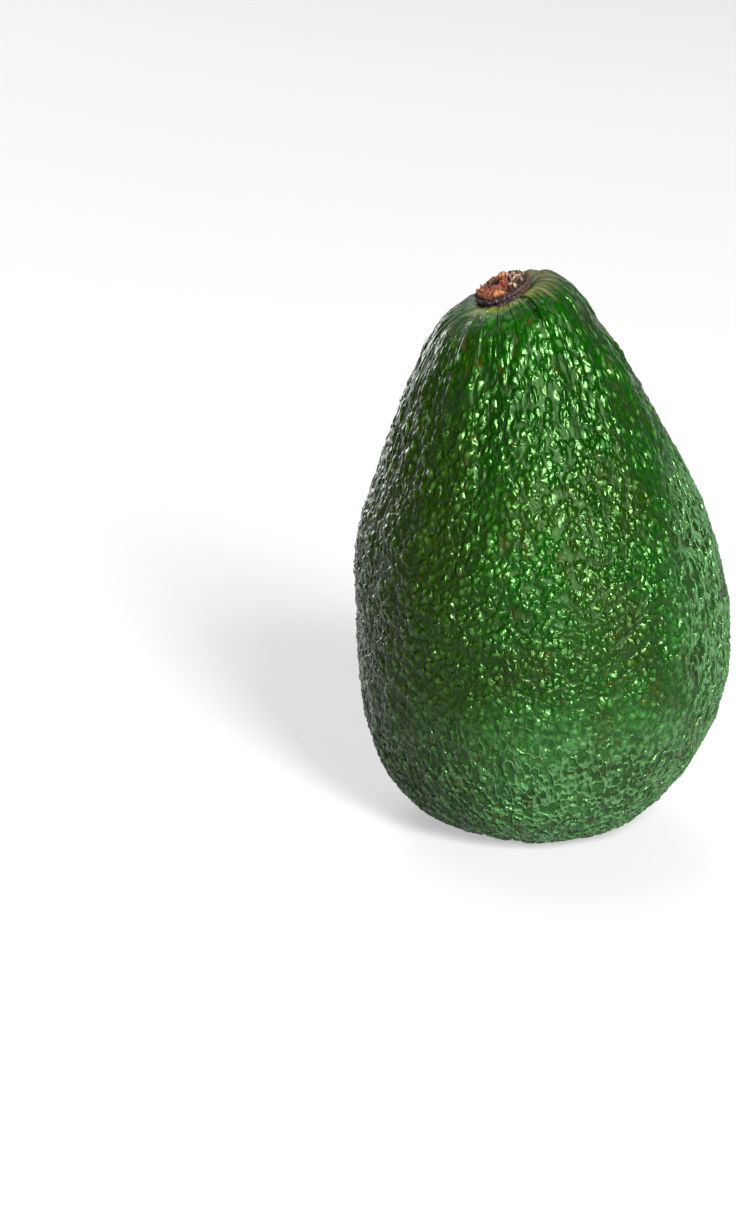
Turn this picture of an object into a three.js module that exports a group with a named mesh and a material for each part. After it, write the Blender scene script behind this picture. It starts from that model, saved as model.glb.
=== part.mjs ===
// A whole avocado standing on its blossom end, with the woody stub of the stem that it hung from.
// Units are millimetres and +Z is up. The origin is the centre of the flat spot that the fruit rests on,
// +X is its fuller side, and its stem end leans towards -X and a little towards -Y.
import * as THREE from "three";

// Outline of the fruit: radius from the core, and height along the core.
const REST_RADIUS = 11;
const BELLY_RADIUS = 30.9;
const BELLY_HEIGHT = 32.1;
const NECK_RADIUS = 19.6;
const NECK_HEIGHT = 80.8;
const NECK_TAPER = THREE.MathUtils.degToRad(24);
const CORE_HEIGHT = 98;
const RIM_RADIUS = 5.1;

// How far each bend of the outline runs on before it turns.
const BASE_RUN = 12;
const BELLY_RUN_DOWN = 19.3;
const BELLY_RUN_UP = 23.5;
const NECK_RUN_DOWN = 30;
const NECK_RUN_UP = 12;
const RIM_RUN = 6.5;

// The core leaves the flat spot upright and reaches the stem end leaning.
const CORE_UPRIGHT_RUN = 16.7;
const STEM_END = new THREE.Vector3(-6.2, -2.1, CORE_HEIGHT);
const STEM_LEAN = new THREE.Vector3(-0.45, -0.15, 1).normalize();
const STEM_LEAN_RUN = 12;

// The belly swells further out on one side than on the other.
const FULLNESS = 4.7;
const FULLEST_HEIGHT = 34;
const FULLNESS_SPREAD = 20.8;

// The stub stands in a shallow socket, clear of its wall and floor.
const SOCKET_RADIUS = 4.8;
const SOCKET_DEPTH = 2;
const STUB_SIDE_GAP = 0.4;
const STUB_FLOOR_GAP = 0.7;
const STUB_ROOT_RADIUS = SOCKET_RADIUS - STUB_SIDE_GAP;
const STUB_RIM_RADIUS = 5;
const STUB_RIM_HEIGHT = 0.7;
const STUB_TOP_RADIUS = 4.2;
const STUB_TOP_HEIGHT = 1.7;
const STUB_DISH_DEPTH = 0.4;

const FRUIT_SIDES = 64;
const STEPS_PER_BEND = 14;
const STUB_SIDES = 40;

const UP = new THREE.Vector3(0, 0, 1);

function fruitOutline() {
  const taper = new THREE.Vector2(-Math.sin(NECK_TAPER), Math.cos(NECK_TAPER));
  const neck = new THREE.Vector2(NECK_RADIUS, NECK_HEIGHT);
  const belowNeck = neck.clone().addScaledVector(taper, -NECK_RUN_DOWN);
  const aboveNeck = neck.clone().addScaledVector(taper, NECK_RUN_UP);
  const side = new THREE.Path();
  side.moveTo(REST_RADIUS, 0);
  side.bezierCurveTo(
    REST_RADIUS + BASE_RUN, 0,
    BELLY_RADIUS, BELLY_HEIGHT - BELLY_RUN_DOWN,
    BELLY_RADIUS, BELLY_HEIGHT,
  );
  side.bezierCurveTo(
    BELLY_RADIUS, BELLY_HEIGHT + BELLY_RUN_UP,
    belowNeck.x, belowNeck.y,
    neck.x, neck.y,
  );
  side.bezierCurveTo(
    aboveNeck.x, aboveNeck.y,
    RIM_RADIUS + RIM_RUN, CORE_HEIGHT,
    RIM_RADIUS, CORE_HEIGHT,
  );
  const socketFloor = CORE_HEIGHT - SOCKET_DEPTH;
  side.lineTo(SOCKET_RADIUS, socketFloor);
  return [
    new THREE.Vector2(0, 0),
    ...side.getPoints(STEPS_PER_BEND),
    new THREE.Vector2(0, socketFloor),
  ];
}

function coreCurve() {
  return new THREE.CubicBezierCurve3(
    new THREE.Vector3(0, 0, 0),
    new THREE.Vector3(0, 0, CORE_UPRIGHT_RUN),
    STEM_END.clone().addScaledVector(STEM_LEAN, -STEM_LEAN_RUN),
    STEM_END,
  );
}

// The core's point and its sideways and frontways directions at one height of the outline.
function coreFrame(core, height) {
  const along = height / CORE_HEIGHT;
  const tangent = height > 0 ? core.getTangentAt(along) : UP;
  const sideways = new THREE.Vector3(0, 1, 0).cross(tangent).normalize();
  const frontways = tangent.clone().cross(sideways);
  return { centre: core.getPointAt(along), sideways, frontways };
}

// How many times wider the fruit is than its outline, at a height and in a direction from the core.
function swelling(height, radius, towardsFullerSide) {
  if (radius === 0) return 1;
  const fullness = FULLNESS * Math.exp(-(((height - FULLEST_HEIGHT) / FULLNESS_SPREAD) ** 2));
  return 1 + (fullness * (1 + towardsFullerSide / radius)) / 2 / radius;
}

// Carries a turned shape, whose own axis is +Y, onto the leaning core.
function bendAlongCore(geometry, core) {
  const position = geometry.getAttribute("position");
  for (let i = 0; i < position.count; i += 1) {
    const [across, height, depth] = [position.getX(i), position.getY(i), -position.getZ(i)];
    const { centre, sideways, frontways } = coreFrame(core, height);
    const swell = swelling(height, Math.hypot(across, depth), across);
    centre.addScaledVector(sideways, across * swell);
    centre.addScaledVector(frontways, depth * swell);
    position.setXYZ(i, centre.x, centre.y, centre.z);
  }
  geometry.computeVertexNormals();
  return geometry;
}

function makeFruit() {
  const turned = new THREE.LatheGeometry(fruitOutline(), FRUIT_SIDES);
  const peel = new THREE.MeshStandardMaterial({ color: 0x1f6b1c, roughness: 0.35, metalness: 0 });
  const fruit = new THREE.Mesh(bendAlongCore(turned, coreCurve()), peel);
  fruit.name = "fruit";
  return fruit;
}

function stubOutline() {
  const root = STUB_FLOOR_GAP - SOCKET_DEPTH;
  return [
    new THREE.Vector2(0, root),
    new THREE.Vector2(STUB_ROOT_RADIUS, root),
    new THREE.Vector2(STUB_ROOT_RADIUS, STUB_SIDE_GAP),
    new THREE.Vector2(STUB_RIM_RADIUS, STUB_RIM_HEIGHT),
    new THREE.Vector2(STUB_TOP_RADIUS, STUB_TOP_HEIGHT),
    new THREE.Vector2(0, STUB_TOP_HEIGHT - STUB_DISH_DEPTH),
  ];
}

function makeStemStub() {
  const turned = new THREE.LatheGeometry(stubOutline(), STUB_SIDES);
  const bark = new THREE.MeshStandardMaterial({ color: 0x8a4a2e, roughness: 0.85, metalness: 0 });
  const stub = new THREE.Mesh(turned, bark);
  stub.name = "stem_stub";
  stub.position.copy(STEM_END);
  stub.quaternion.setFromUnitVectors(new THREE.Vector3(0, 1, 0), STEM_LEAN);
  return stub;
}

const avocado = new THREE.Group();
avocado.add(makeFruit(), makeStemStub());

export default avocado;
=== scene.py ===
"""A whole avocado standing on its blossom end: pebbled peel and a broken stub of stem, in a pale studio.

The frame gives the sizes of the fruit and of its stub. What this script adds to them, such as the peel's
relief, is set here in millimetres. Blender's own lengths are metres.
"""

import math

import bpy
import numpy as np
from mathutils import Matrix, Vector, noise
from mathutils.bvhtree import BVHTree


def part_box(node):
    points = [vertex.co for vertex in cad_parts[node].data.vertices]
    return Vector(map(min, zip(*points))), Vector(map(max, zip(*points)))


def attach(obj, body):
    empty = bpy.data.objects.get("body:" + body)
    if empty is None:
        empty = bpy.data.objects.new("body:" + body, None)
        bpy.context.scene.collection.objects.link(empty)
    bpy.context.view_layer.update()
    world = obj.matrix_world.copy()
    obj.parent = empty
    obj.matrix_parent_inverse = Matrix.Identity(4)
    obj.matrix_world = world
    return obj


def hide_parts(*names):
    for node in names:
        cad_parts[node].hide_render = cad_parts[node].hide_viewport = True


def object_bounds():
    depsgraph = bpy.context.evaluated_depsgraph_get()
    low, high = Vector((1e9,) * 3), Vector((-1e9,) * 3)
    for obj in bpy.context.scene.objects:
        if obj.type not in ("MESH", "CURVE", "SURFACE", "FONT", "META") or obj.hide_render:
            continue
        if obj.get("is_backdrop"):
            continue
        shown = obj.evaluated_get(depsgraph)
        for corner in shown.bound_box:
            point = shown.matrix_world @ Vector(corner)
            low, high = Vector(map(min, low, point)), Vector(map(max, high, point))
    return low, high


MM = 0.001

# The photograph's frame and the camera that took it. RESTING_PIXEL is where the middle of the flat spot
# falls in the frame, and RESTING_DEPTH is how far ahead of the camera it is, in metres. The photograph's
# edge cuts the fruit's right side, so the camera is panned by PAN pixels to show the whole fruit.
PHOTO_WIDTH, PHOTO_HEIGHT = 736, 1223
SENSOR = 36.0
LENS = 120.0
CAMERA_ELEVATION = math.radians(17)
PAN = 18.0
RESTING_PIXEL = (550.0 - PAN, 814.3)
RESTING_DEPTH = 0.7428

# The peel's mesh. A frequency is how many parts each edge of an icosahedron is cut into.
WELD_DISTANCE = 0.01 * MM
ROUNDING_LEVELS = 2
PEEL_FREQUENCY = 99
CAST_FROM_HEIGHT = 0.45
PROFILE_STEPS = 181
PROFILE_AZIMUTHS = 16
FRONT_STEPS = 200
SMOOTHING_PASSES = 40

# The grain of the peel, in millimetres: how far it opens out about the stem, and over what distance.
RIDGE_RADIUS = 7.0
RIDGE_FADE = 9.0

# How much longer than wide the pebbles are on the neck and at the stem, beyond 1, and how far down that
# reaches. LEAST_RISE keeps the grain's height falling where it opens out fastest.
NECK_STRETCH, NECK_REACH = 0.9, 42.0
STEM_STRETCH, STEM_REACH = 1.6, 14.0
LEAST_RISE = 0.02

# The heights of the peel's relief, in millimetres. SETBACK is taken off their sum, and the grit is only in
# the shader.
LOW_PEBBLE, HIGH_PEBBLE = 0.3, 0.46
GRAIN_HEIGHT = 0.05
WRINKLE_HEIGHT = 0.5
NET_HEIGHT = 0.45
RIDGE_HEIGHT = 0.9
PLEAT_HEIGHT = 2.4
FOLD_DEPTH = 0.5
SHOULDER_HEIGHT = 0.8
ROLLING_HEIGHT = 0.9
SWELL_HEIGHT = 1.2
SETBACK = 1.25
GRIT_HEIGHT = 0.03

# Pebbles and grains: how close they stand, how far they swerve, and the smallest one's size.
PEBBLES_PER_MM = 0.78
GRAINS_PER_MM = 1.6
SWERVE = 1.3
SMALLEST_CAP = 0.65

# The reach of the largest pebble with its soft skirt, as a share of the mean distance between pebbles.
CAP_RADIUS = 0.97

# A fold that runs down from the stem: its turn about the stem, and in millimetres from where to where it
# runs and half its width.
FOLD_TURN = math.radians(-61)
FOLD_START, FOLD_END = 5.0, 15.0
FOLD_HALF_WIDTH = 0.8


# ------------------------------------------------------------------------------------- node graphs


class Graph:
    """A short way to write shader or geometry nodes."""

    def __init__(self, tree):
        self.tree = tree

    def node(self, kind, inputs=None, **settings):
        made = self.tree.nodes.new(kind)
        for name, value in settings.items():
            setattr(made, name, value)
        for name, value in (inputs or {}).items():
            self.set(made.inputs[name], value)
        return made

    def set(self, socket, value):
        if isinstance(value, bpy.types.NodeSocket):
            self.tree.links.new(value, socket)
        else:
            socket.default_value = value

    def math(self, operation, *values):
        made = self.node("ShaderNodeMath", operation=operation)
        for socket, value in zip(made.inputs, values):
            self.set(socket, value)
        return made.outputs[0]

    def add(self, *values):
        total = values[0]
        for value in values[1:]:
            total = self.math("ADD", total, value)
        return total

    def times(self, *values):
        product = values[0]
        for value in values[1:]:
            product = self.math("MULTIPLY", product, value)
        return product

    def ramp(self, value, start, end, low=0.0, high=1.0):
        """Goes smoothly from low at start to high at end."""
        inputs = {"Value": value, "From Min": start, "From Max": end, "To Min": low, "To Max": high}
        return self.node("ShaderNodeMapRange", inputs, interpolation_type="SMOOTHSTEP").outputs["Result"]

    def noise(self, place, scale, detail=1.0, roughness=0.5, output="Fac"):
        made = self.node(
            "ShaderNodeTexNoise",
            {"Vector": place, "Scale": scale, "Detail": detail, "Roughness": roughness},
        )
        return made.outputs[output]

    def cells(self, place, scale):
        return self.node("ShaderNodeTexVoronoi", {"Vector": place, "Scale": scale}).outputs

    def vector(self, operation, *values):
        made = self.node("ShaderNodeVectorMath", operation=operation)
        for socket, value in zip(made.inputs, values):
            self.set(socket, value)
        return made.outputs[0]

    def parts(self, vector):
        return self.node("ShaderNodeSeparateXYZ", {"Vector": vector}).outputs

    def attribute(self, name):
        return self.node("ShaderNodeAttribute", attribute_name=name).outputs["Vector"]

    def scaled(self, vector, factor):
        made = self.node("ShaderNodeVectorMath", {"Vector": vector, "Scale": factor}, operation="SCALE")
        return made.outputs[0]

    def mix(self, factor, first, second):
        """Mixes two colours. A Mix node has its colour sockets after those for numbers and vectors."""
        made = self.node("ShaderNodeMix", data_type="RGBA")
        self.set(made.inputs[0], factor)
        self.set(made.inputs[6], first)
        self.set(made.inputs[7], second)
        return made.outputs[2]

    def surface(self, inputs):
        shader = self.node("ShaderNodeBsdfPrincipled", inputs)
        self.node("ShaderNodeOutputMaterial", {"Surface": shader.outputs["BSDF"]})


def empty_material(name):
    """A new material, and the graph of its nodes, which has none yet."""
    material = bpy.data.materials.new(name)
    material.use_nodes = True
    material.node_tree.nodes.clear()
    return material, Graph(material.node_tree)


def colour(red, green, blue):
    return (red, green, blue, 1.0)


WHITE = colour(1.0, 1.0, 1.0)


# ---------------------------------------------------------------------------------------- the peel


def icosahedron():
    golden = (1 + math.sqrt(5)) / 2
    corners = []
    for a in (-1, 1):
        for b in (-golden, golden):
            corners += [(0, a, b), (a, b, 0), (b, 0, a)]
    corners = np.array(corners) / math.hypot(1, golden)
    gaps = np.linalg.norm(corners[:, None] - corners[None], axis=2)
    near = np.isclose(gaps, gaps[gaps > 0.1].min())
    faces = [
        (i, j, k)
        for i in range(12)
        for j in range(i + 1, 12)
        for k in range(j + 1, 12)
        if near[i, j] and near[j, k] and near[i, k]
    ]
    return corners, faces


def along_arc(start, end, share):
    """Unit vectors at these shares of the great arc from start to end."""
    angle = math.acos(np.clip(start @ end, -1, 1))
    if angle < 1e-9:
        return np.repeat(start[None], len(share), axis=0)
    weights = np.sin(np.outer(np.array([1 - share, share]).T, [angle])).reshape(-1, 2)
    return (weights @ np.array([start, end])) / math.sin(angle)


def geodesic_sphere(frequency):
    """Unit vertices and triangles of an icosahedron with each edge cut into this many parts."""
    corners, big_faces = icosahedron()
    points, triangles = [], []
    count = 0
    for i, j, k in big_faces:
        a, b, c = corners[i], corners[j], corners[k]
        if np.cross(b - a, c - a) @ a < 0:
            b, c = c, b
        steps = np.arange(frequency + 1) / frequency
        left, right = along_arc(a, b, steps), along_arc(a, c, steps)
        rows = [left[:1]]
        for row in range(1, frequency + 1):
            rows.append(along_arc(left[row], right[row], np.arange(row + 1) / row))
        first = count + np.cumsum([0] + [len(r) for r in rows[:-1]])
        for row in range(frequency):
            across = np.arange(row + 1)
            top, low = first[row], first[row + 1]
            triangles.append(np.stack([top + across, low + across, low + across + 1], axis=1))
            across = across[:-1]
            triangles.append(np.stack([top + across, low + across + 1, top + across + 1], axis=1))
        points += rows
        count = first[-1] + len(rows[-1])
    points = np.concatenate(points)
    triangles = np.concatenate(triangles)
    _, kept, merged = np.unique(np.round(points, 6), axis=0, return_index=True, return_inverse=True)
    return points[kept], merged.reshape(-1)[triangles]


def smooth_surface_of(node):
    """A search tree over the CAD node with its facets rounded off."""
    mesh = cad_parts[node].data.copy()
    rounded = bpy.data.objects.new("rounded", mesh)
    bpy.context.scene.collection.objects.link(rounded)
    weld = rounded.modifiers.new("weld", "WELD")
    weld.merge_threshold = WELD_DISTANCE
    rounding = rounded.modifiers.new("rounding", "SUBSURF")
    rounding.levels = ROUNDING_LEVELS
    tree = BVHTree.FromObject(rounded, bpy.context.evaluated_depsgraph_get())
    bpy.data.objects.remove(rounded)
    bpy.data.meshes.remove(mesh)
    return tree


def cast(tree, centre, directions):
    """Where rays from the centre meet the surface."""
    hits = np.empty_like(directions)
    for i, direction in enumerate(directions):
        hits[i] = tree.ray_cast(centre, Vector(direction))[0]
    return hits


def even_directions(tree, centre, sphere):
    """Turns the sphere's points up or down, so that each takes an equal share of the surface."""
    polar = np.linspace(0, math.pi, PROFILE_STEPS)
    turns = np.linspace(0, 2 * math.pi, PROFILE_AZIMUTHS, endpoint=False)
    reach = np.zeros(PROFILE_STEPS)
    for turn in turns:
        rays = np.stack(
            [np.sin(polar) * math.cos(turn), np.sin(polar) * math.sin(turn), np.cos(polar)], axis=1
        )
        reach += np.linalg.norm(cast(tree, centre, rays) - np.array(centre), axis=1)
    reach /= len(turns)
    slope = np.gradient(reach, polar)
    band = reach * np.sin(polar) * np.hypot(reach, slope)
    share = np.concatenate([[0], np.cumsum((band[1:] + band[:-1]) / 2)])
    share /= share[-1]
    wanted = (1 - sphere[:, 2]) / 2
    turned = np.interp(wanted, share, polar)
    flat = np.linalg.norm(sphere[:, :2], axis=1)
    flat[flat < 1e-9] = 1
    return np.stack(
        [
            np.sin(turned) * sphere[:, 0] / flat,
            np.sin(turned) * sphere[:, 1] / flat,
            np.cos(turned),
        ],
        axis=1,
    )


def smoothed(points, triangles, passes):
    """Moves each point halfway to the mean of its neighbours, this many times."""
    pairs = np.concatenate([triangles[:, [0, 1]], triangles[:, [1, 2]], triangles[:, [2, 0]]])
    start, end = pairs[:, 0], pairs[:, 1]
    count = np.bincount(start, minlength=len(points))[:, None]
    for _ in range(passes):
        total = np.stack(
            [np.bincount(start, points[end, axis], len(points)) for axis in range(3)], axis=1
        )
        points = 0.5 * points + 0.5 * total / count
    return points


def point_normals(points, triangles):
    a, b, c = (points[triangles[:, i]] for i in range(3))
    faces = np.cross(b - a, c - a)
    total = np.zeros_like(points)
    for corner in range(3):
        for axis in range(3):
            total[:, axis] += np.bincount(triangles[:, corner], faces[:, axis], len(points))
    return total / np.linalg.norm(total, axis=1)[:, None]


def bell(distance, reach):
    return np.exp(-((distance / reach) ** 2))


def sideways_of(axis):
    """The unit vector to the right that is square to this axis."""
    sideways = np.cross([0, 1, 0], axis)
    return sideways / np.linalg.norm(sideways)


def stem_root():
    low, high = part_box("stem_stub")
    return np.array((low + high) / 2)


def share_from_stem(points):
    """How far each point lies from the stem towards the foot, from 0 to 1."""
    to_stem = np.linalg.norm(points - stem_root(), axis=1)
    return to_stem / (to_stem + np.linalg.norm(points, axis=1))


def off_axis(points):
    """How far each point lies sideways and frontways of the line from the foot to the stem."""
    axis = stem_root() / np.linalg.norm(stem_root())
    sideways = sideways_of(axis)
    return points @ sideways, points @ np.cross(axis, sideways)


def grain_profile(profile):
    """For points from the stem to the foot: their shares, distances, widening and heights in the grain."""
    steps = np.linalg.norm(np.diff(profile, axis=0), axis=1) / MM
    distance = np.concatenate([[0], np.cumsum(steps)])
    shares = share_from_stem(profile)
    order = np.argsort(shares)
    shares, distance = shares[order], distance[order]
    distance -= distance[0]
    girth = np.hypot(*off_axis(profile[order])) / MM

    opened = np.hypot(girth, RIDGE_RADIUS * bell(distance, RIDGE_FADE))
    stretch = 1 + NECK_STRETCH * bell(distance, NECK_REACH) + STEM_STRETCH * bell(distance, STEM_REACH)
    slope = np.gradient(opened, distance)
    rise = np.sqrt(np.maximum(stretch**-2 - slope**2, LEAST_RISE))
    height = -np.concatenate([[0], np.cumsum((rise[1:] + rise[:-1]) / 2 * np.diff(distance))])
    return shares, distance, opened / girth, height


def peel_coordinates(points, profile):
    """For each point, its place in the grain of the peel, and its ray from the stem, both in millimetres.

    The grain is a space where every pebble is round. It squeezes the peel lengthways towards the stem,
    where pebbles are long, and opens it out there, so that they draw together into ridges. A ray is the
    cosine and sine of the turn about the stem, and the distance from it along the peel.
    """
    shares, distances, widenings, heights = grain_profile(profile)
    share = share_from_stem(points)
    sideways, frontways = off_axis(points)
    turn = np.arctan2(frontways, sideways)
    across = np.hypot(sideways, frontways) / MM * np.interp(share, shares, widenings)
    height = np.interp(share, shares, heights)
    grain = np.stack([across * np.cos(turn), across * np.sin(turn), height], axis=1)
    ray = np.stack([np.cos(turn), np.sin(turn), np.interp(share, shares, distances)], axis=1)
    return grain, ray


def store(mesh, name, vectors):
    attribute = mesh.attributes.new(name, "FLOAT_VECTOR", "POINT")
    attribute.data.foreach_set("vector", vectors.astype(np.float32).ravel())


def pebble_caps(graph, place, per_mm):
    """Nodes for caps with soft skirts, one to a cell: 1 at the top of the largest, and 0 between them."""
    cell = graph.cells(place, per_mm)
    size = graph.ramp(graph.parts(cell["Color"])[0], 0.0, 1.0, SMALLEST_CAP, 1.0)
    out = graph.math("DIVIDE", cell["Distance"], graph.times(CAP_RADIUS, size))
    cap = graph.math("MAXIMUM", graph.math("SUBTRACT", 1.0, graph.times(out, out)), 0.0)
    return graph.times(cap, cap, size)


def fold_depth(graph, ray):
    """Nodes for how deep in the fold each place is, from 0 to 1."""
    across, along, from_stem = graph.parts(ray)
    aside = graph.add(graph.times(across, math.sin(FOLD_TURN)), graph.times(along, -math.cos(FOLD_TURN)))
    ahead = graph.add(graph.times(across, math.cos(FOLD_TURN)), graph.times(along, math.sin(FOLD_TURN)))
    off = graph.math("ABSOLUTE", graph.times(aside, from_stem))
    middle, half = (FOLD_START + FOLD_END) / 2, (FOLD_END - FOLD_START) / 2
    run = graph.math("DIVIDE", graph.add(from_stem, -middle), half)
    width = graph.math("MAXIMUM", graph.math("SUBTRACT", 1.0, graph.times(run, run)), 0.01)
    depth = graph.ramp(graph.math("DIVIDE", off, graph.times(FOLD_HALF_WIDTH, width)), 1.0, 0.3)
    inside = graph.math("LESS_THAN", graph.math("ABSOLUTE", run), 1.0)
    return graph.times(depth, inside, graph.math("GREATER_THAN", ahead, 0.0))


def foot(graph, from_stem):
    """Nodes for how near each place is to the foot, from 0 to 1."""
    return graph.ramp(from_stem, 76.0, 100.0)


def netted(graph, grain, from_stem):
    """Nodes for how far fine wrinkles take the place of pebbles: at the foot and on the fuller side."""
    fuller_side = graph.ramp(graph.parts(grain)[0], 24.0, 31.5)
    return graph.math("MAXIMUM", foot(graph, from_stem), fuller_side)


def net_threads(graph, grain):
    """Nodes for the threads of the net that those wrinkles make, from 0 to 1."""
    waves = graph.noise(graph.vector("MULTIPLY", grain, (0.6, 0.6, 0.35)), 1.0)
    return graph.ramp(graph.math("ABSOLUTE", graph.add(waves, -0.5)), 0.1, 0.0)


def fine_relief(graph, grain, from_stem):
    """Nodes for the height of pebbles, grains and wrinkles, and for how near a pebble's top a place is."""
    swerve = graph.vector("SUBTRACT", graph.noise(grain, 0.5, output="Color"), (0.5, 0.5, 0.5))
    place = graph.vector("ADD", grain, graph.scaled(swerve, SWERVE))
    dome = pebble_caps(graph, place, PEBBLES_PER_MM)
    tall = graph.ramp(graph.noise(grain, 0.45), 0.3, 0.65, LOW_PEBBLE, HIGH_PEBBLE)
    tall = graph.times(tall, graph.ramp(from_stem, 62.0, 100.0, 1.0, 0.6))
    grains = graph.times(GRAIN_HEIGHT, pebble_caps(graph, place, GRAINS_PER_MM))
    wrinkle = graph.times(WRINKLE_HEIGHT, graph.noise(place, 0.85))
    smooth_stem = graph.ramp(from_stem, 5.0, 30.0, 0.2, 1.0)
    smooth_net = graph.ramp(netted(graph, grain, from_stem), 0.0, 1.0, 1.0, 0.5)
    fine = graph.add(graph.times(tall, dome), grains, wrinkle)
    return graph.times(fine, graph.times(smooth_stem, smooth_net)), dome


def stem_relief(graph, ray):
    """Nodes for the height of what runs down from the stem: ridges, pleats, fold and right shoulder."""
    turn, _, from_stem = graph.parts(ray)
    rays = graph.noise(graph.vector("MULTIPLY", ray, (9.0, 9.0, 0.06)), 1.0, 2.0)
    ridged = graph.times(graph.ramp(from_stem, 4.0, 9.0), graph.ramp(from_stem, 40.0, 12.0))
    ridges = graph.times(RIDGE_HEIGHT, ridged, graph.add(rays, -0.5))
    waves = graph.noise(graph.vector("MULTIPLY", ray, (2.4, 2.4, 0.012)), 1.0)
    pleated = graph.times(graph.ramp(from_stem, 6.0, 20.0), graph.ramp(from_stem, 75.0, 40.0))
    pleats = graph.times(PLEAT_HEIGHT, pleated, graph.add(waves, -0.5))
    fold = graph.times(-FOLD_DEPTH, fold_depth(graph, ray))
    near_stem = graph.times(graph.ramp(from_stem, 4.0, 9.0), graph.ramp(from_stem, 20.0, 11.0))
    shoulder = graph.times(SHOULDER_HEIGHT, near_stem, graph.ramp(turn, -0.1, 0.8))
    return graph.add(ridges, pleats, fold, shoulder)


def peel_relief(graph, grain, ray):
    """Nodes for the height of the peel over its smooth form, in millimetres, and for its pebbles' tops.

    The mesh and the shader share them.
    """
    from_stem = graph.parts(ray)[2]
    fine, dome = fine_relief(graph, grain, from_stem)
    net = graph.times(NET_HEIGHT, netted(graph, grain, from_stem), net_threads(graph, grain))
    rolling = graph.times(ROLLING_HEIGHT, graph.noise(grain, 0.22))
    swell = graph.times(SWELL_HEIGHT, graph.noise(grain, 0.06))
    return graph.add(fine, net, stem_relief(graph, ray), rolling, swell, -SETBACK), dome


def sample_relief(piece):
    """The relief at each vertex of the piece, in millimetres, from its nodes run as geometry nodes."""
    tree = bpy.data.node_groups.new("relief_sampler", "GeometryNodeTree")
    for way in ("INPUT", "OUTPUT"):
        tree.interface.new_socket("Geometry", in_out=way, socket_type="NodeSocketGeometry")
    graph = Graph(tree)
    named = {}
    for name in ("grain", "ray"):
        reader = graph.node("GeometryNodeInputNamedAttribute", {"Name": name}, data_type="FLOAT_VECTOR")
        named[name] = reader.outputs["Attribute"]
    height = peel_relief(graph, named["grain"], named["ray"])[0]
    keeper = graph.node(
        "GeometryNodeStoreNamedAttribute",
        {"Geometry": graph.node("NodeGroupInput").outputs[0], "Name": "relief", "Value": height},
        data_type="FLOAT",
        domain="POINT",
    )
    graph.node("NodeGroupOutput", {"Geometry": keeper.outputs["Geometry"]})
    sampler = piece.modifiers.new("relief_sampler", "NODES")
    sampler.node_group = tree
    result = piece.evaluated_get(bpy.context.evaluated_depsgraph_get()).data
    values = np.empty(len(result.vertices), np.float32)
    result.attributes["relief"].data.foreach_get("value", values)
    piece.modifiers.remove(sampler)
    bpy.data.node_groups.remove(tree)
    return values.astype(float)


def mesh_of(name, points, faces):
    mesh = bpy.data.meshes.new(name)
    mesh.from_pydata(points.tolist(), [], [list(face) for face in faces])
    mesh.shade_smooth()
    piece = bpy.data.objects.new(name, mesh)
    bpy.context.scene.collection.objects.link(piece)
    return piece


def front_profile(tree, centre):
    """Points down the front of the fruit, from the stem to the foot."""
    to_stem = stem_root() - np.array(centre)
    to_stem /= np.linalg.norm(to_stem)
    forward, down = np.array([0, -1, 0]), np.array([0, 0, -1])
    steps = np.linspace(0, 1, FRONT_STEPS)
    arcs = [along_arc(to_stem, forward, steps), along_arc(forward, down, steps)[1:]]
    return cast(tree, centre, np.concatenate(arcs))


def make_peel():
    tree = smooth_surface_of("fruit")
    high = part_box("fruit")[1]
    centre = Vector((0, 0, high.z * CAST_FROM_HEIGHT))
    sphere, triangles = geodesic_sphere(PEEL_FREQUENCY)
    points = cast(tree, centre, even_directions(tree, centre, sphere))
    points = smoothed(points, triangles, SMOOTHING_PASSES)
    normals = point_normals(points, triangles)

    grain, ray = peel_coordinates(points, front_profile(tree, centre))
    peel = mesh_of("avocado_peel", points, triangles)
    store(peel.data, "grain", grain)
    store(peel.data, "ray", ray)
    store(peel.data, "base_normal", normals)
    relief = sample_relief(peel) * MM
    raised = points + normals * relief[:, None]
    raised[:, 2] = np.maximum(raised[:, 2], 0)
    peel.data.vertices.foreach_set("co", raised.astype(np.float32).ravel())
    peel.data.update()
    peel.data.materials.append(peel_material())
    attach(peel, "root")
    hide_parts("fruit")


DEEP_GREEN = colour(0.0006, 0.0115, 0.0001)
FRESH_GREEN = colour(0.0012, 0.0205, 0.0002)
# Painted light: a paler green for the foot and the right side.
FLOOR_LIT_GREEN = colour(0.016, 0.07, 0.014)
# Darker olive: real blotches with age, and painted shade on the left side.
AGED_AND_SHADED_GREEN = colour(0.004, 0.0095, 0.0001)
# Painted reflection: a pale green for the threads of the net.
THREAD_HIGHLIGHT_GREEN = colour(0.07, 0.17, 0.065)
# Pebble tops: partly their own paler green, partly painted highlight.
TOP_GREEN_AND_HIGHLIGHT = colour(0.05, 0.12, 0.035)
# Painted shade: a near-black green for the fold.
FOLD_SHADE = colour(0.001, 0.006, 0.0)
RUSSET = colour(0.022, 0.012, 0.001)
LENTICEL = colour(0.08, 0.13, 0.02)
LENTICELS_PER_MM = 0.33
DARK_CORK = colour(0.012, 0.009, 0.002)
PALE_CORK = colour(0.08, 0.066, 0.028)
OCHRE = colour(0.07, 0.085, 0.006)

# The peel's gloss: its roughness between pebbles and on them, what cork adds to it, and its shine.
VALLEY_ROUGHNESS, CAP_ROUGHNESS = 0.55, 0.17
CORK_ROUGHNESS = 0.5
PEEL_IOR = 1.37
PEEL_SHINE = colour(0.5, 1.0, 0.36)


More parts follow.
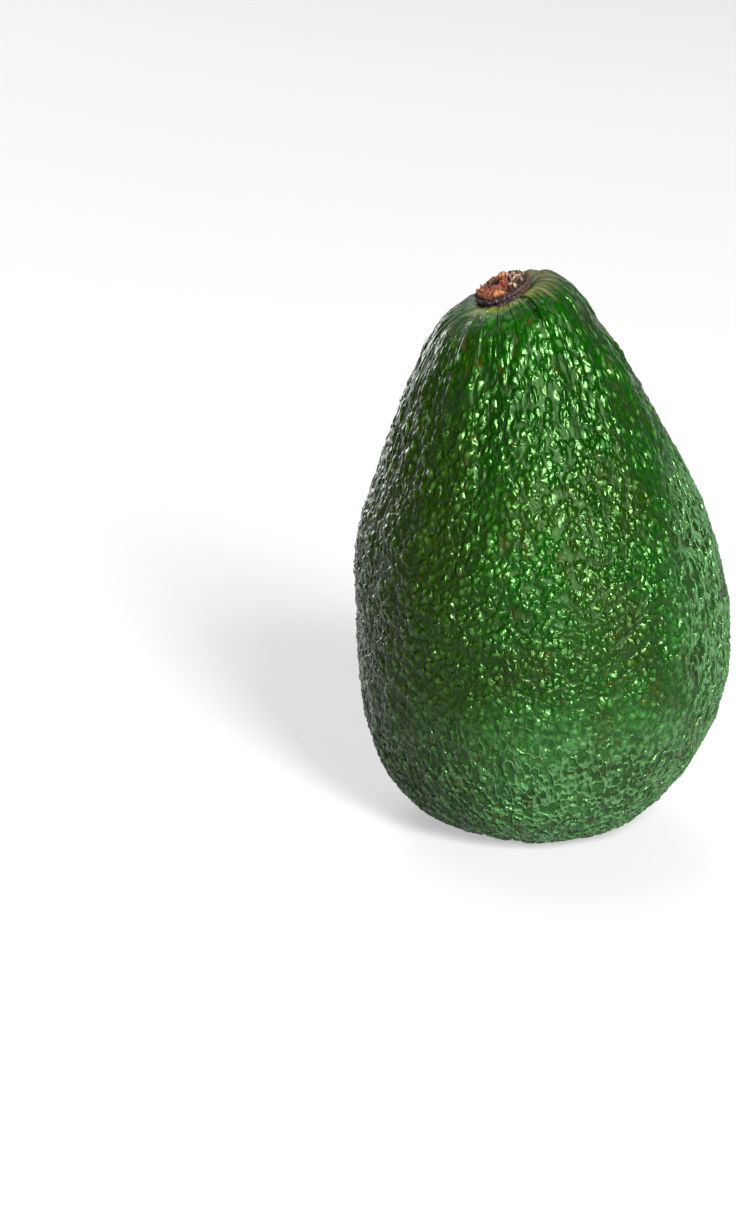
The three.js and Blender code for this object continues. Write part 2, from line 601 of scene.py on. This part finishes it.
def corky(graph, ray):
    """Nodes for how much cork covers the peel: streaks about the stem, mostly on the right."""
    turn, _, from_stem = graph.parts(ray)
    rays = graph.noise(graph.vector("MULTIPLY", ray, (9.0, 9.0, 0.1)), 1.0, 2.0)
    reach = graph.add(graph.times(7.0, rays), graph.times(3.5, graph.ramp(turn, 0.2, 0.8)))
    return graph.ramp(graph.math("SUBTRACT", from_stem, reach), 4.0, 1.0, 0.0, 0.9)


def green_skin(graph, grain, from_stem, dome):
    """Nodes for the peel's greens: darker blotches with age, and painted shade and light on the sides, foot,
    net and pebbles.
    """
    side = graph.parts(grain)[0]
    patch = graph.ramp(graph.noise(grain, 0.06, 2.0), 0.3, 0.7)
    skin = graph.mix(patch, DEEP_GREEN, FRESH_GREEN)
    # Painted light: paler towards the foot and on the right side, as if lit from the white floor.
    paler = graph.math("MAXIMUM", foot(graph, from_stem), graph.ramp(side, 22.0, 34.0, 0.0, 0.4))
    skin = graph.mix(paler, skin, FLOOR_LIT_GREEN)
    # Darker olive in blotches with age, and painted shade across the left side of the fruit.
    blotch = graph.times(0.6, graph.ramp(graph.noise(grain, 0.09, 2.0), 0.46, 0.62))
    aged_and_shaded = graph.math("MAXIMUM", blotch, graph.ramp(side, 2.0, -20.0))
    skin = graph.mix(aged_and_shaded, skin, AGED_AND_SHADED_GREEN)
    net = netted(graph, grain, from_stem)
    # Darker between pebbles and lighter on their tops, less on the net: partly the peel's own colour, partly
    # painted shade in the gaps and painted highlight on the tops.
    bright = graph.ramp(net, 0.0, 1.0, 1.9, 1.2)
    skin = graph.scaled(skin, graph.ramp(dome, 0.0, 0.8, 0.75, bright))
    skin = graph.scaled(skin, graph.add(1.0, graph.times(-0.35, net)))
    # The painted highlights on the net's threads and on the pebble tops fade to half on the shaded left side.
    fading = graph.ramp(side, -14.0, 2.0, 0.5, 1.0)
    # Painted reflection: pale threads where the net's wrinkles would catch light.
    threads = graph.times(0.5, net, net_threads(graph, grain), fading)
    skin = graph.mix(threads, skin, THREAD_HIGHLIGHT_GREEN)
    # Pale pebble tops away from the stem: partly their own colour, partly painted highlight.
    shown = graph.ramp(from_stem, 8.0, 25.0, 0.1, 0.6)
    tops = graph.times(graph.ramp(dome, 0.65, 0.95), shown, fading)
    return graph.mix(tops, skin, TOP_GREEN_AND_HIGHLIGHT)


def stem_colour(graph, skin, ray):
    """Nodes for the skin with what lies about the stem: cork, the ochre ring in front, and painted shade in
    the fold.
    """
    streaks = graph.noise(graph.vector("MULTIPLY", ray, (16.0, 16.0, 0.1)), 1.0, 3.0, 0.6)
    cork = graph.mix(graph.ramp(streaks, 0.4, 0.6), DARK_CORK, PALE_CORK)
    skin = graph.mix(corky(graph, ray), skin, cork)
    _, along, from_stem = graph.parts(ray)
    ring = graph.times(graph.ramp(along, -0.2, -0.8), graph.ramp(from_stem, 9.4, 6.6))
    skin = graph.mix(ring, skin, OCHRE)
    # Painted shade in the fold that runs down from the stem.
    return graph.mix(graph.times(0.8, fold_depth(graph, ray)), skin, FOLD_SHADE)


def peel_colour(graph, grain, ray, dome):
    skin = green_skin(graph, grain, graph.parts(ray)[2], dome)
    russet = graph.ramp(graph.noise(grain, 0.5, 3.0), 0.62, 0.72, 0.0, 0.6)
    skin = graph.mix(russet, skin, RUSSET)
    lenticel = graph.ramp(graph.cells(grain, LENTICELS_PER_MM)["Distance"], 0.10, 0.05, 0.0, 0.2)
    skin = graph.mix(lenticel, skin, LENTICEL)
    return stem_colour(graph, skin, ray)


def peel_material():
    material, graph = empty_material("avocado_peel")
    grain, ray = graph.attribute("grain"), graph.attribute("ray")
    height, dome = peel_relief(graph, grain, ray)
    grit = graph.times(GRIT_HEIGHT, graph.noise(grain, 6.0, 3.0, 0.6))
    bumps = {
        "Strength": 1.0,
        "Distance": MM,
        "Height": graph.add(height, grit),
        "Normal": graph.attribute("base_normal"),
    }
    gloss = graph.ramp(dome, 0.05, 0.35, VALLEY_ROUGHNESS, CAP_ROUGHNESS)
    graph.surface(
        {
            "Base Color": peel_colour(graph, grain, ray, dome),
            "Roughness": graph.add(gloss, graph.times(CORK_ROUGHNESS, corky(graph, ray))),
            "IOR": PEEL_IOR,
            "Specular Tint": PEEL_SHINE,
            "Normal": graph.node("ShaderNodeBump", bumps).outputs["Normal"],
        }
    )
    return material


# ----------------------------------------------------------------------------------- the stem stub


STUB_AROUND, STUB_ALONG = 240, 120

# Lumps and hollows of the broken top, in millimetres: across, backwards, spread and height.
STUB_LUMPS = (
    (-0.6, -0.2, 0.8, 0.35),
    (1.2, 3.2, 0.7, 0.9),
    (3.0, -0.8, 1.0, 0.7),
    (2.6, 1.4, 0.9, 0.6),
    (-2.4, 1.0, 0.8, -0.4),
    (-0.7, 1.9, 0.9, -1.2),
)

# The middles of the red knot and of the dark hollow, in millimetres: across, backwards and up.
KNOT, HOLLOW = (-0.6, -0.2, 1.3), (-0.7, 1.9, 0.6)

# The stub's wall as shares of its radius: the wood's edge, the crevice and the ring of bark outside it.
WOOD_EDGE, CREVICE, BARK_RING = 0.84, 0.91, 0.94

# How rough the broken top is, in millimetres, and how wide its cracks are, as a share of a cell between them.
ROUGH_HEIGHT, SPLINTER_HEIGHT, CRACK_DEPTH = 0.5, 0.35, 0.5
CRACK_WIDTH = 0.14

# How ragged the wall is all round, broadly and finely, as shares of its radius.
BROAD_RAGS, FINE_RAGS = 0.07, 0.06


def stub_frame():
    """The CAD stub's middle, its sideways, backward and upward directions, and its radius and top.

    It is thinnest along its axis, which gives the upward direction.
    """
    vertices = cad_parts["stem_stub"].data.vertices
    points = np.array([v.co for v in vertices])
    middle = (points.max(axis=0) + points.min(axis=0)) / 2
    axis = np.linalg.eigh(np.cov(points.T))[1][:, 0]
    axis *= np.sign(axis[2])
    sideways = sideways_of(axis)
    heights = (points - middle) @ axis
    radius = np.linalg.norm((points - middle) - np.outer(heights, axis), axis=1).max()
    directions = np.stack([sideways, np.cross(axis, sideways), axis])
    return middle, directions, radius / MM, heights.max() / MM


def hill(x, y, centre_x, centre_y, spread):
    return math.exp(-((x - centre_x) ** 2 + (y - centre_y) ** 2) / spread**2)


def stub_rise(x, y):
    """How far the broken top stands over its mean, in millimetres. It has cracks on the right."""
    rough = ROUGH_HEIGHT * noise.fractal((0.5 * x, 0.5 * y, 0.0), 0.8, 2.0, 5)
    splinters = SPLINTER_HEIGHT * noise.noise((2.2 * x, 1.1 * y, 4.0))
    lumps = sum(height * hill(x, y, *place) for *place, height in STUB_LUMPS)
    near, next_near = noise.voronoi((0.8 * x, 0.8 * y, 7.0))[0][:2]
    crack = max(0.0, 1 - (next_near - near) / CRACK_WIDTH) * min(1.0, max(0.2, x - 0.2))
    return rough + splinters + lumps - CRACK_DEPTH * crack


def stub_outline(radius, top):
    """The wall of the stub, from the middle of its underside to the middle of its top."""
    return [
        (0, -top),
        (0.86 * radius, -top),
        (0.88 * radius, -0.3 * top),
        (radius, -0.02 * top),
        (0.99 * radius, 0.3 * top),
        (BARK_RING * radius, 0.38 * top),
        (CREVICE * radius, 0.2 * top),
        (0.89 * radius, 0.55 * top),
        (WOOD_EDGE * radius, 0.85 * top),
        (0, 0.75 * top),
    ]


def stub_points(radius, top):
    """Rings of points along the outline, and for each its share of the radius, even height and rise."""
    outline = stub_outline(radius, top)
    lengths = np.cumsum([0] + [math.dist(a, b) for a, b in zip(outline, outline[1:])])
    along = np.linspace(0, lengths[-1], STUB_ALONG)
    points, forms = [], []
    for out, height in zip(*(np.interp(along, lengths, column) for column in zip(*outline))):
        for step in range(STUB_AROUND if out > 0 else 1):
            turn = 2 * math.pi * step / STUB_AROUND
            across, back = math.cos(turn), math.sin(turn)
            ragged = BROAD_RAGS * noise.noise((2.5 * across, 2.5 * back, 0.3 * height))
            ragged += FINE_RAGS * noise.noise((11.0 * across, 11.0 * back, 0.5 * height))
            reach = out * (1 + ragged)
            x, y = reach * across, reach * back
            rise = stub_rise(x, y)
            broken = np.clip((height / top - 0.2) / 0.5, 0, 1)
            points.append((x, y, height + broken * rise))
            forms.append((out / radius, height, rise))
    return np.array(points), np.array(forms)


def stub_faces():
    around, last = STUB_AROUND, 1 + (STUB_ALONG - 3) * STUB_AROUND
    turns = [(i, (i + 1) % around) for i in range(around)]
    faces = [[0, 1 + j, 1 + i] for i, j in turns]
    for start in range(1, last, around):
        faces += [[start + i, start + j, start + around + j, start + around + i] for i, j in turns]
    return faces + [[last + i, last + j, last + around] for i, j in turns]


def make_stub():
    middle, directions, radius, top = stub_frame()
    points, forms = stub_points(radius, top)
    stub = mesh_of("avocado_stem_stub", middle + points @ directions * MM, stub_faces())
    store(stub.data, "spot", points)
    store(stub.data, "form", forms)
    stub.data.materials.append(bark_material())
    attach(stub, "root")
    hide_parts("stem_stub")


# Wood and crust are dark in low places and pale on high ones: partly their grain, partly painted shade and
# light.
SHADED_DARK_WOOD = colour(0.012, 0.003, 0.001)
WOOD = colour(0.1, 0.03, 0.01)
LIT_PALE_WOOD = colour(0.28, 0.1, 0.04)
KNOT_RED = colour(0.14, 0.017, 0.01)
SHADED_DARK_CRUST = colour(0.01, 0.004, 0.003)
LIT_PALE_CRUST = colour(0.28, 0.17, 0.11)
# Painted shade: near-black for the hollow in the broken top.
HOLLOW_SHADE = colour(0.008, 0.001, 0.001)
DARK_RING = colour(0.01, 0.004, 0.005)
# Painted highlight: paler purple-grey patches on the dark ring of bark.
RING_HIGHLIGHT_PURPLE = colour(0.09, 0.06, 0.068)
BROWN_RING = colour(0.035, 0.02, 0.008)
# Painted shade: near-black for the crevice between wood and bark.
CREVICE_SHADE = colour(0.004, 0.001, 0.001)

# The stub's gloss: its roughness where it is dry, and on the wet knot.
DRY_ROUGHNESS, WET_ROUGHNESS = 0.85, 0.25
BARK_SPECULAR = 0.25
GRIT_DEPTH = 0.4 * MM


def away_from(graph, spot, place):
    offset = graph.vector("SUBTRACT", spot, place)
    return graph.node("ShaderNodeVectorMath", {"Vector": offset}, operation="LENGTH").outputs["Value"]


def wood_colour(graph, spot, lift):
    """Nodes for the broken top: orange wood, a red knot, pale crust on the right and a hollow, with painted
    shade and light.
    """
    # Painted shade in low places and cracks, and painted light on high places, by how high each place stands.
    wood = graph.mix(graph.ramp(lift, -0.5, 0.05), SHADED_DARK_WOOD, WOOD)
    wood = graph.mix(graph.ramp(lift, 0.05, 0.5), wood, LIT_PALE_WOOD)
    red = graph.ramp(away_from(graph, spot, KNOT), 3.2, 0.8)
    wood = graph.mix(graph.times(0.8, red), wood, KNOT_RED)
    crust = graph.mix(graph.ramp(lift, -0.1, 0.6), SHADED_DARK_CRUST, LIT_PALE_CRUST)
    wood = graph.mix(graph.ramp(graph.parts(spot)[0], 0.9, 1.9), wood, crust)
    # Painted shade in the hollow.
    return graph.mix(graph.ramp(away_from(graph, spot, HOLLOW), 1.5, 0.8), wood, HOLLOW_SHADE)


def ring_colour(graph, spot, grit):
    """Nodes for the ring of bark outside the wood: dark purple with paler patches of painted highlight,
    browner on the right.
    """
    ring = graph.mix(graph.ramp(grit, 0.45, 0.7), DARK_RING, RING_HIGHLIGHT_PURPLE)
    return graph.mix(graph.ramp(graph.parts(spot)[0], 0.5, 3.5, 0.0, 0.8), ring, BROWN_RING)


def bark_colour(graph, spot, form, grit):
    share, height, rise = graph.parts(form)
    # The height that the top's colours follow, with grit: it paints shade into low places and light onto high
    # ones.
    lift = graph.add(rise, graph.times(0.9, graph.add(grit, -0.5)))
    outside = graph.math("MAXIMUM", graph.ramp(share, CREVICE, BARK_RING), graph.ramp(height, 0.2, 0.0))
    bark = graph.mix(outside, wood_colour(graph, spot, lift), ring_colour(graph, spot, grit))
    crevice = graph.math("ABSOLUTE", graph.add(share, -CREVICE))
    # Painted shade in the crevice between the wood and the ring of bark.
    return graph.mix(graph.ramp(crevice, 0.03, 0.005), bark, CREVICE_SHADE)


def bark_material():
    material, graph = empty_material("stem_bark")
    spot, form = graph.attribute("spot"), graph.attribute("form")
    grit = graph.noise(graph.vector("MULTIPLY", spot, (3.0, 2.2, 1.2)), 1.0, 4.0, 0.65)
    bump = graph.node("ShaderNodeBump", {"Distance": GRIT_DEPTH, "Height": grit})
    wet = graph.ramp(away_from(graph, spot, KNOT), 1.4, 0.7)
    graph.surface(
        {
            "Base Color": bark_colour(graph, spot, form, grit),
            "Roughness": graph.ramp(wet, 0.0, 1.0, DRY_ROUGHNESS, WET_ROUGHNESS),
            "Specular IOR Level": BARK_SPECULAR,
            "Normal": bump.outputs["Normal"],
        }
    )
    return material


# -------------------------------------------------------------------------------------- the studio


# The floor: half its side in metres, its grey and roughness, and how strongly it glows.
FLOOR_REACH = 6.0
FLOOR_GREY = colour(0.21, 0.21, 0.21)
FLOOR_ROUGHNESS = 0.6
FLOOR_GLOW = 0.45

# How bright the room is in front of the fruit, and behind it on the left, low down and high up.
FRONT_GLOW = 0.015
LOW_GLOW, HIGH_GLOW = 0.3, 1.2

# The lamps: azimuth and elevation in degrees, distance, width and height in metres, and power in watts.
SOFTBOXES = {
    "key": (21, 29, 1.6, 0.42, 0.75, 112),
    "rear": (200, 60, 1.3, 1.2, 1.2, 17),
    "rim": (214, 6, 1.3, 0.7, 0.3, 5),
}


def make_floor():
    corners = [(x * FLOOR_REACH, y * FLOOR_REACH, 0) for x, y in ((-1, -1), (1, -1), (1, 1), (-1, 1))]
    mesh = bpy.data.meshes.new("floor")
    mesh.from_pydata(corners, [], [(0, 1, 2, 3)])
    floor = bpy.data.objects.new("floor", mesh)
    bpy.context.scene.collection.objects.link(floor)
    material = bpy.data.materials.new("floor")
    material.use_nodes = True
    shader = material.node_tree.nodes["Principled BSDF"]
    shader.inputs["Base Color"].default_value = FLOOR_GREY
    shader.inputs["Roughness"].default_value = FLOOR_ROUGHNESS
    shader.inputs["Emission Color"].default_value = WHITE
    shader.inputs["Emission Strength"].default_value = FLOOR_GLOW
    mesh.materials.append(material)
    floor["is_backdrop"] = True


def make_softbox(name, azimuth, elevation, distance, width, height, power):
    """A rectangular lamp aimed at the middle of the fruit. Azimuth 0 is in front and 90 is on the right."""
    low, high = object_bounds()
    target = (low + high) / 2
    turn, lift = math.radians(azimuth), math.radians(elevation)
    away = Vector((math.sin(turn) * math.cos(lift), -math.cos(turn) * math.cos(lift), math.sin(lift)))
    light = bpy.data.lights.new(name, "AREA")
    light.shape = "RECTANGLE"
    light.size, light.size_y = width, height
    light.energy = power
    lamp = bpy.data.objects.new(name, light)
    lamp.location = target + away * distance
    lamp.rotation_mode = "QUATERNION"
    lamp.rotation_quaternion = away.to_track_quat("Z", "Y")
    bpy.context.scene.collection.objects.link(lamp)


def make_world():
    """White behind the fruit, most of all high on the left, and dim in front."""
    world = bpy.data.worlds.new("studio")
    bpy.context.scene.world = world
    world.use_nodes = True
    graph = Graph(world.node_tree)
    x, y, z = graph.parts(graph.node("ShaderNodeTexCoord").outputs["Generated"])
    behind = graph.ramp(y, 0.55, 0.9)
    leftward = graph.ramp(x, 0.1, -0.4)
    glow = graph.ramp(z, 0.05, 0.45, LOW_GLOW, HIGH_GLOW)
    backdrop = graph.add(1.0, graph.times(leftward, graph.add(glow, -1.0)))
    background = world.node_tree.nodes["Background"]
    graph.set(background.inputs["Strength"], graph.add(FRONT_GLOW, graph.times(behind, backdrop)))
    graph.set(background.inputs["Color"], WHITE)


def make_camera():
    focal = PHOTO_HEIGHT * LENS / SENSOR
    ahead = Vector((0, math.cos(CAMERA_ELEVATION), -math.sin(CAMERA_ELEVATION)))
    right = Vector((1, 0, 0))
    above = right.cross(ahead)
    across = (RESTING_PIXEL[0] - PHOTO_WIDTH / 2) / focal * RESTING_DEPTH
    up = -(RESTING_PIXEL[1] - PHOTO_HEIGHT / 2) / focal * RESTING_DEPTH
    data = bpy.data.cameras.new("camera")
    data.lens = LENS
    data.sensor_width = SENSOR
    camera = bpy.data.objects.new("camera", data)
    to_fruit = right * across + above * up + ahead * RESTING_DEPTH
    turned = Matrix((right, above, -ahead)).transposed().to_4x4()
    camera.matrix_world = Matrix.Translation(-to_fruit) @ turned
    bpy.context.scene.collection.objects.link(camera)
    bpy.context.scene.camera = camera


def make_studio():
    make_world()
    make_floor()
    for name, setting in SOFTBOXES.items():
        make_softbox(name, *setting)
    make_camera()
    bpy.context.scene.view_settings.view_transform = "Standard"


# --------------------------------------------------------------------------------- the whole scene

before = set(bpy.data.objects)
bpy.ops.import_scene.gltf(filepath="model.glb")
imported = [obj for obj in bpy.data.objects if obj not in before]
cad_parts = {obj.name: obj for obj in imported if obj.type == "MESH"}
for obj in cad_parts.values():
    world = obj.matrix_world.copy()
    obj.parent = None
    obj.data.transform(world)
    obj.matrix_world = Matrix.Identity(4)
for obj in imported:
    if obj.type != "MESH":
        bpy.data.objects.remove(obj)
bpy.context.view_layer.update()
make_peel()
make_stub()
make_studio()
